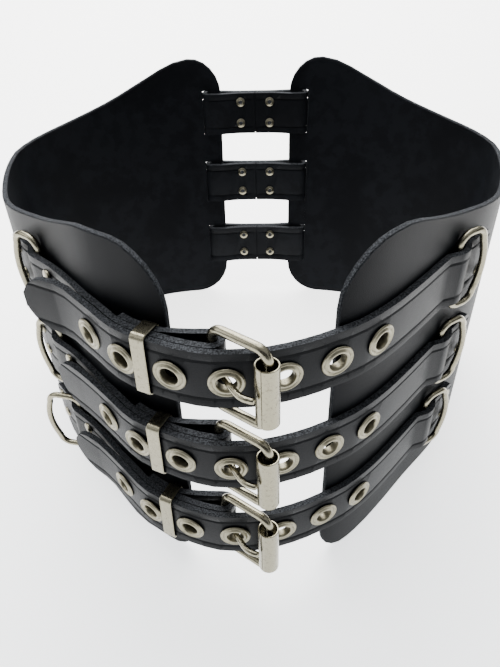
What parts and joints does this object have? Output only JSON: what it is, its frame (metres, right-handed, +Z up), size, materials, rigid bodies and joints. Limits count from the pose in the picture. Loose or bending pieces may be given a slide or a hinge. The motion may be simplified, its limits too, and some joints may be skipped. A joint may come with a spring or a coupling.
{
  "type": "kidney belt",
  "caption": "Wide black leather kidney belt: two tall shaped panels joined behind by riveted folded straps and closed in front by straps with roller buckles.",
  "frame": {"origin": "below the middle of the whole belt's box, on the surface that the lower edges stand on", "axes": "+Z up along the body, the buckles towards -Y, the folded joining straps towards +Y, +X to the right of a person who looks at the buckles"},
  "size_m": [0.306, 0.3138, 0.19],
  "materials": {
    "panel_leather": "smooth black hide with fine grain, satin outside and matt inside",
    "strap_leather": "smooth black strap leather with pressed lines along its edges",
    "nickel": "warm nickel plate, polished, lightly scratched and pitted"
  },
  "bodies": {
    "root": {"back_link_bottom": "strap_leather", "back_link_middle": "strap_leather", "back_link_top": "strap_leather", "billet_bottom": "strap_leather", "billet_middle": "strap_leather", "billet_top": "strap_leather", "buckle_frame_bottom": "nickel", "buckle_frame_middle": "nickel", "buckle_frame_top": "nickel", "buckle_prong_bottom": "nickel", "buckle_prong_middle": "nickel", "buckle_prong_top": "nickel", "buckle_roller_bottom": "nickel", "buckle_roller_middle": "nickel", "buckle_roller_top": "nickel", "chape_bottom": "strap_leather", "chape_middle": "strap_leather", "chape_top": "strap_leather", "grommet_bottom_1": "nickel", "grommet_bottom_2": "nickel", "grommet_bottom_3": "nickel", "grommet_bottom_4": "nickel", "grommet_bottom_5": "nickel", "grommet_bottom_6": "nickel", "grommet_bottom_7": "nickel", "grommet_middle_1": "nickel", "grommet_middle_2": "nickel", "grommet_middle_3": "nickel", "grommet_middle_4": "nickel", "grommet_middle_5": "nickel", "grommet_middle_6": "nickel", "grommet_middle_7": "nickel", "grommet_top_1": "nickel", "grommet_top_2": "nickel", "grommet_top_3": "nickel", "grommet_top_4": "nickel", "grommet_top_5": "nickel", "grommet_top_6": "nickel", "grommet_top_7": "nickel", "keeper_bottom": "nickel", "keeper_middle": "nickel", "keeper_top": "nickel", "left_panel": "panel_leather", "right_panel": "panel_leather", "ring_left_bottom": "nickel", "ring_left_middle": "nickel", "ring_left_top": "nickel", "ring_right_bottom": "nickel", "ring_right_middle": "nickel", "ring_right_top": "nickel"}
  },
  "joints": []
}
